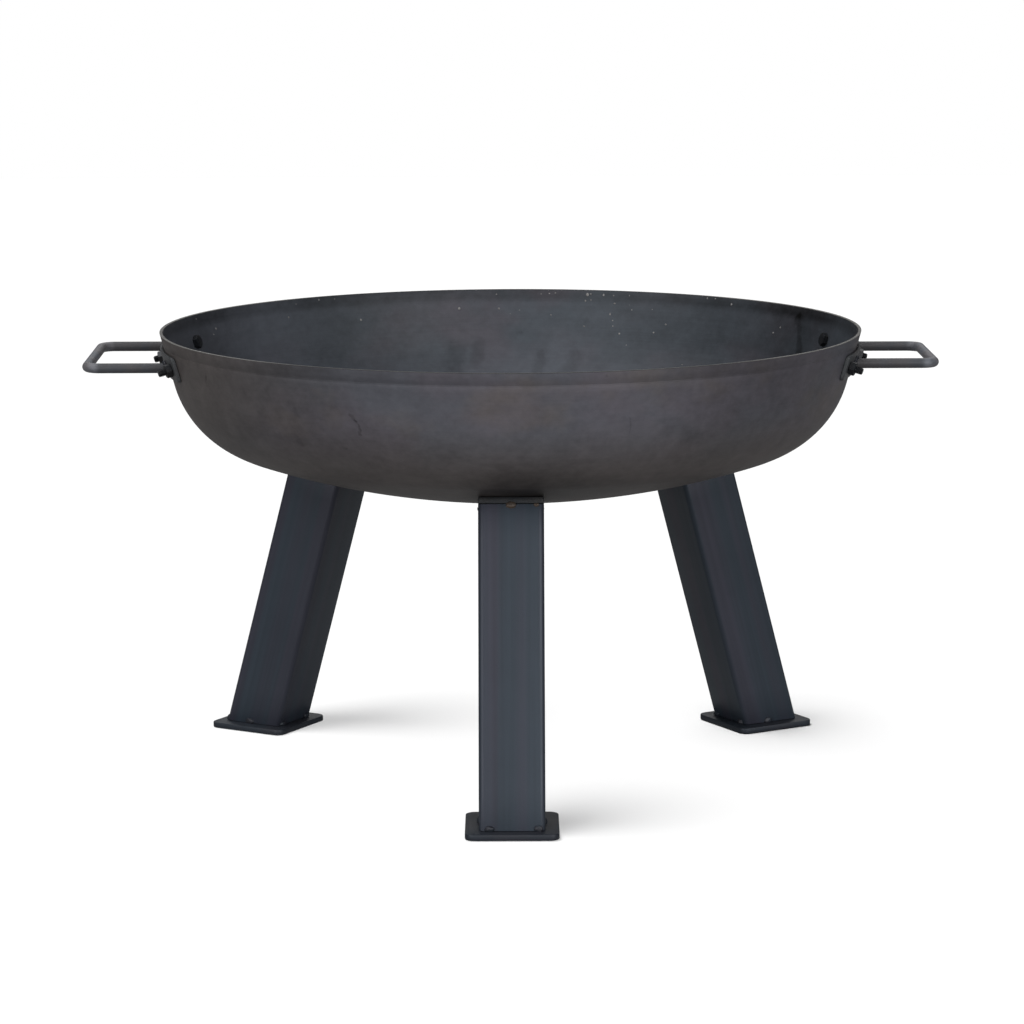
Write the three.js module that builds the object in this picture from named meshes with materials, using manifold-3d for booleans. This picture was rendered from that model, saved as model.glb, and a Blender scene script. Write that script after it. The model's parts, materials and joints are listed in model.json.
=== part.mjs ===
// A bolted steel fire bowl: a spun bowl on three splayed square-tube legs, with a loop handle at each side.
// Millimetres and degrees. +Z is up, z = 0 is the floor, and the bowl's axis is the Z axis.
// The handles lie along X, and the front leg points along -Y.

import * as THREE from 'three';
import { mergeVertices } from 'three/addons/utils/BufferGeometryUtils.js';
import Module from 'manifold-3d';

const wasm = await Module();
wasm.setup();

const GAP = 0.3; // clearance between neighbouring pieces

// Bowl: a domed floor, a rounded knuckle and a straight wall that leans out towards the rim.
const RIM_RADIUS = 285;
const RIM_HEIGHT = 358;
const BOWL_DEPTH = 136.5; // rim to the lowest point outside
const BOWL_THICKNESS = 2.5;
const WALL_TAPER = 15;
const WALL_DROP = 42; // height of the straight wall
const KNUCKLE_RADIUS = 83; // outside
const BOWL_SEGMENTS = 72;
const FLOOR_STEPS = 7;
const KNUCKLE_STEPS = 6;

// Handles: a loop of round bar on a curved strip that hugs the wall.
const BAR_DIAMETER = 8;
const BAR_SIDES = 12;
const BAR_SPACING = 125; // centre to centre
const BAR_DROP = 23.4; // rim to the bars' centre line
const HANDLE_REACH = 343.5; // bowl's axis to the outside of the loop
const BEND_RADIUS = 11; // bar's centre line
const LOOP_STEPS = 44;
const BRACKET_THICKNESS = 2.5;
const BRACKET_HEIGHT = 20;
const BRACKET_LENGTH = 188; // straight across its ends
const BRACKET_CORNER = 3;
const BRACKET_DROP = 22.4; // rim to the bracket's middle, where its bolts are
const BRACKET_BOLT_ANGLE = 17.3; // from the handle's middle to each outer bolt

// Legs: square tube between a flat top plate and a wider foot plate.
const LEG_ANGLES = { front: -90, back_right: 30, back_left: 150 };
const LEG_SPLAY = 16.5;
const LEG_FLOOR_RADIUS = 244; // where a tube's axis meets the floor
const TUBE_WIDTH = 50.8;
const TUBE_WALL = 2;
const TUBE_CORNER = 4;
const PLATE_THICKNESS = 5;
const FOOT_WIDTH = 72;
const FOOT_CORNER = 7;
const TOP_CORNER = 1;
const FOOT_RADIUS = 242.5; // bowl's axis to the foot plate's centre

// Hex fasteners.
const M6 = { shank: 6, flats: 10, head: 4, nut: 5 };
const M10 = { shank: 10, flats: 16, head: 6.4, nut: 8 };
const HANDLE_BOLT_LENGTHS = { front: 14, middle: 12, back: 14 };
const LEG_BOLT_LENGTH = 25;
const LEG_WASHER = { diameter: 20, thickness: 2 };
const SHANK_SIDES = 16;
const CORNER_STEPS = 4; // flats in each rounded corner

const rad = THREE.MathUtils.degToRad;

// Finishes.
function steel(color, roughness, metalness) {
  return new THREE.MeshStandardMaterial({ color, roughness, metalness });
}

const bowlSteel = () => steel(0x4b4a4a, 0.55, 0.8);
const blackSteel = () => steel(0x33373d, 0.5, 0.7);
const fastenerSteel = () => steel(0x26272a, 0.45, 0.8);

// Solids: a closed three.js geometry as a manifold solid, and back.
function toSolid(geometry) {
  const bare = geometry.clone();
  bare.deleteAttribute('normal');
  bare.deleteAttribute('uv');
  const merged = mergeVertices(bare);
  const index = merged.index.array;
  const corners = [];
  for (let i = 0; i < index.length; i += 3) {
    const [a, b, c] = [index[i], index[i + 1], index[i + 2]];
    if (a !== b && b !== c && c !== a) corners.push(a, b, c);
  }
  return new wasm.Manifold(new wasm.Mesh({
    numProp: 3,
    vertProperties: new Float32Array(merged.attributes.position.array),
    triVerts: new Uint32Array(corners),
  }));
}

function toGeometry(solid) {
  const { numProp, vertProperties, triVerts } = solid.getMesh();
  const geometry = new THREE.BufferGeometry();
  geometry.setAttribute('position', new THREE.BufferAttribute(new Float32Array(vertProperties), numProp));
  geometry.setIndex(new THREE.BufferAttribute(new Uint32Array(triVerts), 1));
  geometry.computeVertexNormals();
  return geometry;
}

function piece(name, solid, material) {
  const mesh = new THREE.Mesh(toGeometry(solid), material);
  mesh.name = name;
  return mesh;
}

// A round bar along Z, from one height to another.
function roundBar(diameter, low, high) {
  const geometry = new THREE.CylinderGeometry(diameter / 2, diameter / 2, high - low, SHANK_SIDES);
  geometry.rotateX(Math.PI / 2).translate(0, 0, (low + high) / 2);
  return toSolid(geometry);
}

// A hexagonal bar along Z.
function hexBar(flats, low, high) {
  const corner = flats / 2 / Math.cos(Math.PI / 6);
  const geometry = new THREE.CylinderGeometry(corner, corner, high - low, 6);
  geometry.rotateX(Math.PI / 2).translate(0, 0, (low + high) / 2);
  return toSolid(geometry);
}

// A hole for a shank, with clearance all round.
const clearanceHole = (shank, low, high) => roundBar(shank + 2 * GAP, low, high);

// A rectangle with rounded corners, centred on the origin.
function roundedRectangle(width, height, corner) {
  const [x, y] = [width / 2, height / 2];
  const shape = new THREE.Shape();
  shape.absarc(x - corner, y - corner, corner, 0, Math.PI / 2);
  shape.absarc(corner - x, y - corner, corner, Math.PI / 2, Math.PI);
  shape.absarc(corner - x, corner - y, corner, Math.PI, 1.5 * Math.PI);
  shape.absarc(x - corner, corner - y, corner, 1.5 * Math.PI, 2 * Math.PI);
  shape.closePath();
  return shape;
}

// A flat outline made solid along Z, from one height to another.
function extrude(shape, low, high) {
  const geometry = new THREE.ExtrudeGeometry(shape, {
    depth: high - low,
    bevelEnabled: false,
    curveSegments: CORNER_STEPS,
  });
  geometry.translate(0, 0, low);
  return geometry;
}

// A solid turned about Z from a closed profile of (radius, height) points.
function turned(profile) {
  return toSolid(new THREE.LatheGeometry(profile, BOWL_SEGMENTS).rotateX(Math.PI / 2));
}

// Bowl profile. The floor's radius follows from the depth, the wall and the knuckle, so that all three meet
// without a corner.
const wallOut = new THREE.Vector2(Math.cos(rad(WALL_TAPER)), -Math.sin(rad(WALL_TAPER)));
const bowlBottom = RIM_HEIGHT - BOWL_DEPTH;
const boltHeight = RIM_HEIGHT - BRACKET_DROP;
const wallRadius = (height) => RIM_RADIUS - (RIM_HEIGHT - height) * Math.tan(rad(WALL_TAPER));
const wallFoot = new THREE.Vector2(wallRadius(RIM_HEIGHT - WALL_DROP), RIM_HEIGHT - WALL_DROP);
const knuckleCentre = wallFoot.clone().addScaledVector(wallOut, -KNUCKLE_RADIUS);
const knuckleLift = knuckleCentre.y - bowlBottom;
const floorRadius = (knuckleCentre.x ** 2 + knuckleLift ** 2 - KNUCKLE_RADIUS ** 2)
  / (2 * (knuckleLift - KNUCKLE_RADIUS));
const floorCentre = new THREE.Vector2(0, bowlBottom + floorRadius);

// One side of the shell, from the axis up to the rim, set in from the outer surface.
function bowlSide(inset) {
  const meeting = Math.atan2(knuckleCentre.y - floorCentre.y, knuckleCentre.x);
  const points = [];
  const arc = (centre, radius, from, to, steps, first) => {
    for (let i = first; i <= steps; i += 1) {
      const angle = THREE.MathUtils.lerp(from, to, i / steps);
      points.push(new THREE.Vector2(Math.cos(angle), Math.sin(angle)).multiplyScalar(radius).add(centre));
    }
  };
  arc(floorCentre, floorRadius - inset, -Math.PI / 2, meeting, FLOOR_STEPS, 0);
  arc(knuckleCentre, KNUCKLE_RADIUS - inset, meeting, -rad(WALL_TAPER), KNUCKLE_STEPS, 1);
  points.push(new THREE.Vector2(RIM_RADIUS - inset / wallOut.x, RIM_HEIGHT));
  points[0].x = 0;
  return points;
}

// A ring between two distances out from the straight wall, well above and below a handle's bracket.
function wallRing(inner, outer) {
  const [low, high] = [boltHeight - BRACKET_HEIGHT, boltHeight + BRACKET_HEIGHT];
  const at = (out, height) => new THREE.Vector2(wallRadius(height) + out / wallOut.x, height);
  return turned([at(outer, low), at(outer, high), at(inner, high), at(inner, low), at(outer, low)]);
}

// A place on the wall at bolt height, with +Z square out of the wall.
function wallPlace(azimuth) {
  return new THREE.Matrix4().makeRotationZ(rad(azimuth))
    .multiply(new THREE.Matrix4().makeTranslation(wallRadius(boltHeight), 0, boltHeight))
    .multiply(new THREE.Matrix4().makeRotationY(rad(90 + WALL_TAPER)));
}

// A leg's place: on the floor, with +Z up along the tube.
function legPlace(azimuth) {
  return new THREE.Matrix4().makeRotationZ(rad(azimuth))
    .multiply(new THREE.Matrix4().makeTranslation(LEG_FLOOR_RADIUS, 0, 0))
    .multiply(new THREE.Matrix4().makeRotationY(-rad(LEG_SPLAY)));
}

// Pieces made in a place of their own, such as a bolt with its nut.
function groupAt(place, ...children) {
  const group = new THREE.Group();
  group.applyMatrix4(place);
  if (children.length) group.add(...children);
  return group;
}

// Along a tube's axis: the top plate's face is square to the tube and touches the bowl's floor.
const plateTop = LEG_FLOOR_RADIUS * Math.sin(rad(LEG_SPLAY))
  + floorCentre.y * Math.cos(rad(LEG_SPLAY)) - floorRadius - GAP;
const plateBottom = plateTop - PLATE_THICKNESS;

// The turned shell's flats stand a little inside its true radius, and the leg's bolt isn't quite square to
// the floor, so heads and washers inside the bowl keep this much more room.
const flatsInset = RIM_RADIUS * (1 - Math.cos(Math.PI / BOWL_SEGMENTS));
const handleHeadTop = -(BOWL_THICKNESS + GAP + flatsInset);
const axisOffset = floorCentre.y * Math.sin(rad(LEG_SPLAY)) - LEG_FLOOR_RADIUS * Math.cos(rad(LEG_SPLAY));
const floorRise = floorRadius - Math.sqrt(floorRadius ** 2 - axisOffset ** 2);
const washerSlope = LEG_WASHER.diameter / 2 * axisOffset / floorRadius;
const washerBottom = plateTop + GAP + floorRise + BOWL_THICKNESS + GAP + flatsInset + washerSlope;

const handleAngles = { right: 0, left: 180 };
const boltAngles = { front: -BRACKET_BOLT_ANGLE, middle: 0, back: BRACKET_BOLT_ANGLE };

// Front and back are seen from the front leg's side, so they swap on the left handle.
const boltAzimuth = (side, spot) => handleAngles[side] + boltAngles[spot] * (side === 'right' ? 1 : -1);

function bowl() {
  const through = BOWL_THICKNESS + 4 * GAP;
  let shell = turned([...bowlSide(0), ...bowlSide(BOWL_THICKNESS).reverse()]);
  for (const side of Object.keys(handleAngles)) {
    for (const spot of Object.keys(boltAngles)) {
      const hole = clearanceHole(M6.shank, -through, through);
      shell = shell.subtract(hole.transform(wallPlace(boltAzimuth(side, spot)).elements));
    }
  }
  for (const azimuth of Object.values(LEG_ANGLES)) {
    const hole = clearanceHole(M10.shank, plateTop - through, plateTop + 2 * through);
    shell = shell.subtract(hole.transform(legPlace(azimuth).elements));
  }
  return piece('bowl', shell, bowlSteel());
}

// The strip that carries a handle, made on the +X side.
function bracket(name) {
  const outline = roundedRectangle(BRACKET_LENGTH, BRACKET_HEIGHT, BRACKET_CORNER);
  const stamp = extrude(outline, 0, RIM_RADIUS + BAR_SPACING);
  stamp.rotateZ(Math.PI / 2).rotateY(Math.PI / 2).translate(0, 0, boltHeight);
  let strip = wallRing(GAP, GAP + BRACKET_THICKNESS).intersect(toSolid(stamp));
  for (const angle of Object.values(boltAngles)) {
    const hole = clearanceHole(M6.shank, -BRACKET_THICKNESS, 3 * BRACKET_THICKNESS);
    strip = strip.subtract(hole.transform(wallPlace(angle).elements));
  }
  return piece(name, strip, blackSteel());
}

// The loop of round bar, made on the +X side and cut square to the bracket's face.
function handleBar(name) {
  const barHeight = RIM_HEIGHT - BAR_DROP;
  const side = BAR_SPACING / 2;
  const outer = HANDLE_REACH - BAR_DIAMETER / 2;
  const inner = wallRadius(barHeight) - BAR_DIAMETER * 2;
  const corner = outer - BEND_RADIUS;
  const at = (x, y) => new THREE.Vector3(x, y, barHeight);
  const path = new THREE.CurvePath();
  path.add(new THREE.LineCurve3(at(inner, -side), at(corner, -side)));
  path.add(bend(at(corner, BEND_RADIUS - side), -90));
  path.add(new THREE.LineCurve3(at(outer, BEND_RADIUS - side), at(outer, side - BEND_RADIUS)));
  path.add(bend(at(corner, side - BEND_RADIUS), 0));
  path.add(new THREE.LineCurve3(at(corner, side), at(inner, side)));
  const section = new THREE.Shape();
  for (let i = 0; i < BAR_SIDES; i += 1) {
    const angle = i / BAR_SIDES * 2 * Math.PI;
    const [x, y] = [Math.cos(angle) * BAR_DIAMETER / 2, Math.sin(angle) * BAR_DIAMETER / 2];
    if (i === 0) section.moveTo(x, y);
    else section.lineTo(x, y);
  }
  const loop = new THREE.ExtrudeGeometry(section, { steps: LOOP_STEPS, extrudePath: path });
  const wall = wallRing(-3 * BAR_DIAMETER, BRACKET_THICKNESS + 2 * GAP);
  return piece(name, toSolid(loop).subtract(wall), blackSteel());
}

// A quarter turn of the bar's centre line in the handle's plane, starting at an angle.
function bend(centre, start) {
  const curve = new THREE.Curve();
  curve.getPoint = (t, target = new THREE.Vector3()) => {
    const angle = rad(start + 90 * t);
    return target.set(Math.cos(angle), Math.sin(angle), 0).multiplyScalar(BEND_RADIUS).add(centre);
  };
  return curve;
}

// A hex bolt with the inner face of its head at z = seat, and its shank along +Z.
function boltSolid(size, seat, length) {
  const head = hexBar(size.flats, seat - size.head, seat);
  return head.add(roundBar(size.shank, seat - size.head / 2, seat + length));
}

function nutSolid(size, low) {
  const high = low + size.nut;
  return hexBar(size.flats, low, high).subtract(clearanceHole(size.shank, low - GAP, high + GAP));
}

function handle(side) {
  const group = new THREE.Group();
  const onRight = new THREE.Group();
  onRight.rotation.z = rad(handleAngles[side]);
  onRight.add(bracket(`handle_bracket_${side}`), handleBar(`handle_bar_${side}`));
  group.add(onRight);
  for (const spot of Object.keys(boltAngles)) {
    const bolt = boltSolid(M6, handleHeadTop, HANDLE_BOLT_LENGTHS[spot]);
    const nut = nutSolid(M6, BRACKET_THICKNESS + 2 * GAP);
    group.add(groupAt(
      wallPlace(boltAzimuth(side, spot)),
      piece(`handle_bolt_${side}_${spot}`, bolt, fastenerSteel()),
      piece(`handle_nut_${side}_${spot}`, nut, fastenerSteel()),
    ));
  }
  return group;
}

// Square tube, cut level with the foot plate at its lower end and square at its upper end.
function legTube(name) {
  const outline = roundedRectangle(TUBE_WIDTH, TUBE_WIDTH, TUBE_CORNER);
  const inside = TUBE_WIDTH - 2 * TUBE_WALL;
  outline.holes.push(roundedRectangle(inside, inside, TUBE_CORNER - TUBE_WALL));
  const tube = toSolid(extrude(outline, -TUBE_WIDTH, plateBottom - GAP));
  const below = new THREE.BoxGeometry(6 * TUBE_WIDTH, 2 * TUBE_WIDTH, 4 * TUBE_WIDTH);
  below.translate(0, 0, PLATE_THICKNESS + GAP - 2 * TUBE_WIDTH).rotateY(rad(LEG_SPLAY));
  return piece(name, tube.subtract(toSolid(below)), blackSteel());
}

function topPlate(name) {
  const outline = roundedRectangle(TUBE_WIDTH, TUBE_WIDTH, TOP_CORNER);
  const plate = toSolid(extrude(outline, plateBottom, plateTop));
  const hole = clearanceHole(M10.shank, plateBottom - GAP, plateTop + GAP);
  return piece(name, plate.subtract(hole), blackSteel());
}

function footPlate(name) {
  const outline = roundedRectangle(FOOT_WIDTH, FOOT_WIDTH, FOOT_CORNER);
  return piece(name, toSolid(extrude(outline, 0, PLATE_THICKNESS)), blackSteel());
}

function legWasher(name) {
  const top = washerBottom + LEG_WASHER.thickness;
  const ring = roundBar(LEG_WASHER.diameter, washerBottom, top);
  const hole = clearanceHole(M10.shank, washerBottom - GAP, top + GAP);
  return piece(name, ring.subtract(hole), fastenerSteel());
}

// The leg's bolt hangs from its head, inside the bowl.
function legBolt(name) {
  const seat = washerBottom + LEG_WASHER.thickness + GAP;
  const bolt = boltSolid(M10, -seat, LEG_BOLT_LENGTH).rotate([180, 0, 0]);
  return piece(name, bolt, fastenerSteel());
}

function leg(spot) {
  const azimuth = LEG_ANGLES[spot];
  const foot = footPlate(`leg_foot_plate_${spot}`);
  foot.rotation.z = rad(azimuth);
  foot.position.set(Math.cos(rad(azimuth)), Math.sin(rad(azimuth)), 0).multiplyScalar(FOOT_RADIUS);
  const tilted = groupAt(
    legPlace(azimuth),
    legTube(`leg_tube_${spot}`),
    topPlate(`leg_top_plate_${spot}`),
    legWasher(`leg_washer_${spot}`),
    legBolt(`leg_bolt_${spot}`),
    piece(`leg_nut_${spot}`, nutSolid(M10, plateBottom - GAP - M10.nut), fastenerSteel()),
  );
  const group = new THREE.Group();
  group.add(foot, tilted);
  return group;
}

const fireBowl = new THREE.Group();
fireBowl.add(bowl());
for (const side of Object.keys(handleAngles)) fireBowl.add(handle(side));
for (const spot of Object.keys(LEG_ANGLES)) fireBowl.add(leg(spot));

export default fireBowl;
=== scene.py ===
"""A bolted steel fire bowl: a spun bowl on three splayed square-tube legs, with a loop handle at each side.

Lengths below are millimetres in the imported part's frame, +Z up, and become metres as each mesh is made.
"""

import json
import math

import bmesh
import bpy
from mathutils import Matrix, Vector, noise

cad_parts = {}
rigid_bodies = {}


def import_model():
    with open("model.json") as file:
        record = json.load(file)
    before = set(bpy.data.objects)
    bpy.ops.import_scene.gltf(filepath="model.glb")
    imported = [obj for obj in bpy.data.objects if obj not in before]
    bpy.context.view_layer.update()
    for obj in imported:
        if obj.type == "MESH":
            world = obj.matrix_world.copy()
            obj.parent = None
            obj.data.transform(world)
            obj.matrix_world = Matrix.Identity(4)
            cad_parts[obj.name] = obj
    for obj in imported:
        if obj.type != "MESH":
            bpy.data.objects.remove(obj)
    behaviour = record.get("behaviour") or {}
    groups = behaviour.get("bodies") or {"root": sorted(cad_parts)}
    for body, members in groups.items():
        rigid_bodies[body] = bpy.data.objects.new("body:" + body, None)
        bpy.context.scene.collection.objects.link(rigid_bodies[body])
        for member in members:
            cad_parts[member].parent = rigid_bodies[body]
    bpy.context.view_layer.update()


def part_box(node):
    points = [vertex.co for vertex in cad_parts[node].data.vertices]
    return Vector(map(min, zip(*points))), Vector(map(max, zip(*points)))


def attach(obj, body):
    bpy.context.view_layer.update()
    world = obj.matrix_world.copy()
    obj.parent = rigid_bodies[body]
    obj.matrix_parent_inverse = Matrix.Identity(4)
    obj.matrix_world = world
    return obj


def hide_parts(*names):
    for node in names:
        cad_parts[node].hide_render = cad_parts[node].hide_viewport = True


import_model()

MM = 0.001
GAP = 0.3  # clearance between neighbouring pieces
DOUBLED = 1e-6  # two points closer than this are one
TAU = 2 * math.pi
QUARTER = math.pi / 2

# Bowl
BOWL_THICKNESS = 2.5
WALL_TAPER = math.radians(15)
WALL_DROP = 42.0
KNUCKLE_RADIUS = 83.0
BOWL_SEGMENTS = 288
CAD_SEGMENTS = 72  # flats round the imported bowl
RIM_EDGE = 0.35
LIP_DROP = 9.3  # rim to the turned line under it
LINE_DEPTH = 0.22
LINE_WIDTH = 1.1
BOWL_WANDER = 0.16  # how far the bowl's wall strays from round

# Handles
BAR_DIAMETER = 8.0
BAR_SPACING = 125.0
BAR_DROP = 23.4
BEND_RADIUS = 11.0
BRACKET_THICKNESS = 2.5
BRACKET_HEIGHT = 20.0
BRACKET_LENGTH = 188.0
BRACKET_CORNER = 3.0
BRACKET_DROP = 22.4
BRACKET_BOLT_ANGLE = 17.3
LOOP_TWIST = -0.9  # the loops' planes sit a little out of level
HANDLE_ANGLES = {"right": 0, "left": 180}
BOLT_ANGLES = {"front": -BRACKET_BOLT_ANGLE, "middle": 0, "back": BRACKET_BOLT_ANGLE}

# Legs
LEG_ANGLES = {"front": -90, "back_right": 30, "back_left": 150}
LEG_SPLAY = math.radians(16.5)
LEG_FLOOR_RADIUS = 244.0
TUBE_WIDTH = 50.8
TUBE_WALL = 2.0
TUBE_CORNER = 4.0
PLATE_THICKNESS = 5.0
FOOT_WIDTH = 72.0
FOOT_CORNER = 7.0
TOP_CORNER = 1.0
FOOT_RADIUS = 242.5
CUT_EDGE = 0.5  # rounding on sawn and cut edges
FOOT_EDGE = 0.9  # rounding on the foot plates' edges
# Weld tacks as (x, y) from the tube's middle, in half widths of the tube. The top ones go on with
# their half sizes in millimetres.
# The last two, on the tube's side faces, stand for dark strips beside the tube's foot that are partly weld
# and partly shade.
FOOT_TACKS = ((1, 0.8), (1, -0.68), (-1, 0.74), (-1, -0.7), (0.1, 1), (-0.1, -1))
TOP_TACKS = (
    (1, 0, 1.8, 4.4, 3.0), (1, 0.78, 1.0, 2.2, 1.6), (-1, 0.1, 1.8, 4.4, 3.0),
    (0, -1, 3.2, 1.2, 1.8), (0.1, 1, 3.0, 0.7, 1.2),
)

# Fasteners
M6 = {"shank": 6.0, "flats": 10.0, "head": 4.0, "nut": 5.0, "pitch": 1.0}
M10 = {"shank": 10.0, "flats": 16.0, "head": 6.4, "nut": 8.0, "pitch": 1.5}
HANDLE_BOLT_LENGTHS = {"front": 14.0, "middle": 12.0, "back": 14.0}
LEG_BOLT_LENGTH = 25.0
WASHER_DIAMETER = 20.0
WASHER_THICKNESS = 2.0
HEX_STEPS = 72
HEX_CHAMFER = 0.95  # where a hexagon's chamfer starts, as a part of its half width

# Looks, floor, lamps and camera
BUMP_DISTANCE = 0.0004
FLOOR_SIZE = 6.0
FLOOR_CELLS = 12
FLOOR_SEEN = 0.9  # the floor's grey to the camera, and to light that bounces
FLOOR_BOUNCE = 0.3
SKY_LIGHT = 0.06
SKY_SEEN = 1.0
# Softboxes on the product as (name, azimuth, elevation, spread, strength, seen in reflections).
PRODUCT_LAMPS = (
    ("front_left", -35, 12, 45, 2.0, True),
    ("front_right", 35, 12, 45, 2.6, True),
    ("high_left", -35, 35, 45, 0.5, True),
    ("high_right", 35, 35, 45, 0.6, True),
    ("side_left", -90, 60, 45, 1.7, True),
    ("top", 0, 88, 45, 0.9, True),
    ("back", 180, 40, 45, 0.6, True),
    ("back_low", 180, 8, 30, 0.9, False),
)
# Lamps that draw the feet's soft shadows as (name, azimuth, elevation, strength, legs that block it).
FLOOR_LAMPS = (
    ("floor_side", -92, 70, 1.97, ("front", "back_right")),
    ("floor_corner", -50, 64, 1.80, ("back_left", "back_right")),
)
FLOOR_SPREAD = 34
CAMERA_PLACE = (0, -3.0, 0.7193)
CAMERA_LENS = 130.22
CAMERA_SENSOR = 36.0
CAMERA_PITCH = 9.723
CAMERA_YAW = -0.015
CAMERA_ROLL = -0.20

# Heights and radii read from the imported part.
bowl_low, bowl_high = (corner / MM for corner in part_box("bowl"))
RIM_RADIUS = bowl_high.x
RIM_HEIGHT = bowl_high.z
BOWL_BOTTOM = bowl_low.z
HANDLE_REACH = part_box("handle_bar_right")[1].x / MM
BOLT_HEIGHT = RIM_HEIGHT - BRACKET_DROP
BAR_HEIGHT = RIM_HEIGHT - BAR_DROP
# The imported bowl's flats cut inside its round shape by this much.
FLATS_INSET = RIM_RADIUS * (1 - math.cos(math.pi / CAD_SEGMENTS))


# ---------------------------------------------------------------- places and profiles

def wall_radius(height, out=0.0):
    """Radius of the bowl's straight outer wall at a height, or of a surface a distance out from it."""
    return RIM_RADIUS - (RIM_HEIGHT - height) * math.tan(WALL_TAPER) + out / math.cos(WALL_TAPER)


WALL_FOOT = Vector((wall_radius(RIM_HEIGHT - WALL_DROP), RIM_HEIGHT - WALL_DROP))
KNUCKLE_CENTRE = WALL_FOOT - KNUCKLE_RADIUS * Vector((math.cos(WALL_TAPER), -math.sin(WALL_TAPER)))
KNUCKLE_LIFT = KNUCKLE_CENTRE.y - BOWL_BOTTOM
FLOOR_RADIUS = (KNUCKLE_CENTRE.x ** 2 + KNUCKLE_LIFT ** 2 - KNUCKLE_RADIUS ** 2) / (
    2 * (KNUCKLE_LIFT - KNUCKLE_RADIUS)
)
FLOOR_CENTRE = Vector((0.0, BOWL_BOTTOM + FLOOR_RADIUS))
PLATE_TOP = (
    LEG_FLOOR_RADIUS * math.sin(LEG_SPLAY) + FLOOR_CENTRE.y * math.cos(LEG_SPLAY) - FLOOR_RADIUS - GAP
)
PLATE_BOTTOM = PLATE_TOP - PLATE_THICKNESS


def turn(degrees, axis="Z"):
    return Matrix.Rotation(math.radians(degrees), 4, axis)


def bowl_point(azimuth, height, inset=0.0):
    """A point on the bowl's wall or knuckle. The inset is 0 outside, and the steel's thickness inside."""
    if height >= WALL_FOOT.y:
        radius = wall_radius(height, -inset)
    else:
        sweep = KNUCKLE_RADIUS - inset
        radius = KNUCKLE_CENTRE.x + math.sqrt(sweep ** 2 - (height - KNUCKLE_CENTRE.y) ** 2)
    angle = math.radians(azimuth)
    return Vector((radius * math.cos(angle), radius * math.sin(angle), height))


def wall_place(azimuth):
    """A place on the wall at bolt height, with +Z square out of the wall."""
    shift = Matrix.Translation((wall_radius(BOLT_HEIGHT), 0, BOLT_HEIGHT))
    return turn(azimuth) @ shift @ turn(90 + math.degrees(WALL_TAPER), "Y")


def leg_place(azimuth):
    """A leg's place on the floor, with +Z up along the tube."""
    shift = Matrix.Translation((LEG_FLOOR_RADIUS, 0, 0))
    return turn(azimuth) @ shift @ turn(-math.degrees(LEG_SPLAY), "Y")


def arc(centre, radius, start, end, steps):
    """Points along a circular arc, both ends included."""
    points = []
    for i in range(steps + 1):
        angle = start + (end - start) * i / steps
        points.append(centre + radius * Vector((math.cos(angle), math.sin(angle))))
    return points


def rounded_rectangle(width, height, corner, steps=6):
    """Outline of a rectangle with rounded corners, anticlockwise."""
    points = []
    for quarter in range(4):
        start = quarter * QUARTER
        sx = 1 if quarter in (0, 3) else -1
        sy = 1 if quarter in (0, 1) else -1
        centre = Vector((sx * (width / 2 - corner), sy * (height / 2 - corner)))
        points += arc(centre, corner, start, start + QUARTER, steps)
    return points


# ---------------------------------------------------------------- mesh building

def skin(bm, rows, material=0):
    """Joins each row of vertices to the next one with a band of faces."""
    for low, high in zip(rows, rows[1:]):
        for i in range(len(low)):
            j = (i + 1) % len(low)
            bm.faces.new((low[i], low[j], high[j], high[i])).material_index = material


def loft(bm, rings, closed=False, cap_start=False, cap_end=False):
    """Skins a run of equal rings of points, and returns the rows of new vertices."""
    rows = [[bm.verts.new(point) for point in ring] for ring in rings]
    skin(bm, rows + [rows[0]] if closed else rows)
    if cap_start:
        bm.faces.new(rows[0][::-1])
    if cap_end:
        bm.faces.new(rows[-1])
    return rows


def pole(bm, row, point, flip=False):
    """Closes a ring of vertices with a fan to one point."""
    tip = bm.verts.new(point)
    for i in range(len(row)):
        j = (i + 1) % len(row)
        bm.faces.new((row[j], row[i], tip) if flip else (row[i], row[j], tip))


def circle(radius, height, count):
    """A ring of points round Z."""
    return [
        Vector((radius * math.cos(TAU * i / count), radius * math.sin(TAU * i / count), height))
        for i in range(count)
    ]


def turned_ring(profile, count):
    """A closed ring, such as a washer, turned about Z from a closed profile of (radius, height)."""
    bm = bmesh.new()
    loft(bm, [circle(r, z, count) for r, z in profile], closed=True)
    return bm


def level(outline, height, inset=0.0):
    """An outline lifted to a height, and shrunk towards its middle by an inset on each side."""
    width = max(p.x for p in outline)
    depth = max(p.y for p in outline)
    return [Vector((p.x * (1 - inset / width), p.y * (1 - inset / depth), height)) for p in outline]


def plate(outline, low, high, edge, hole=0.0):
    """A flat plate with slightly rounded edges, and a round hole through its middle if it has one."""
    bm = bmesh.new()
    soft = edge * 0.3
    rings = [
        level(outline, low, edge),
        level(outline, low + soft, soft),
        level(outline, low + edge),
        level(outline, high - edge),
        level(outline, high - soft, soft),
        level(outline, high, edge),
    ]
    if not hole:
        loft(bm, rings, cap_start=True, cap_end=True)
        return bm
    inner = [Vector((p.x, p.y, 0)).normalized() * hole / 2 for p in outline]
    rings += [[p + Vector((0, 0, high)) for p in inner], [p + Vector((0, 0, low)) for p in inner]]
    loft(bm, rings, closed=True)
    return bm


def rise(point, amount, scale, seed):
    """Smooth noise at a point, from about -amount to amount."""
    return amount * noise.noise(point * scale + Vector((seed, seed * 1.7, -seed)))


def add_tack(bm, place, size, seed):
    """A weld tack: a low lump with a rippled skin, centred on a place."""
    made = bmesh.ops.create_icosphere(bm, subdivisions=3, radius=1.0)["verts"]
    for vert in made:
        swell = 1 + rise(vert.co, 0.28, 1.6, seed) + rise(vert.co, 0.08, 5.0, seed + 9)
        point = vert.co * swell
        vert.co = place @ Vector((point.x * size[0], point.y * size[1], point.z * size[2]))


collection = bpy.context.scene.collection


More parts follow.
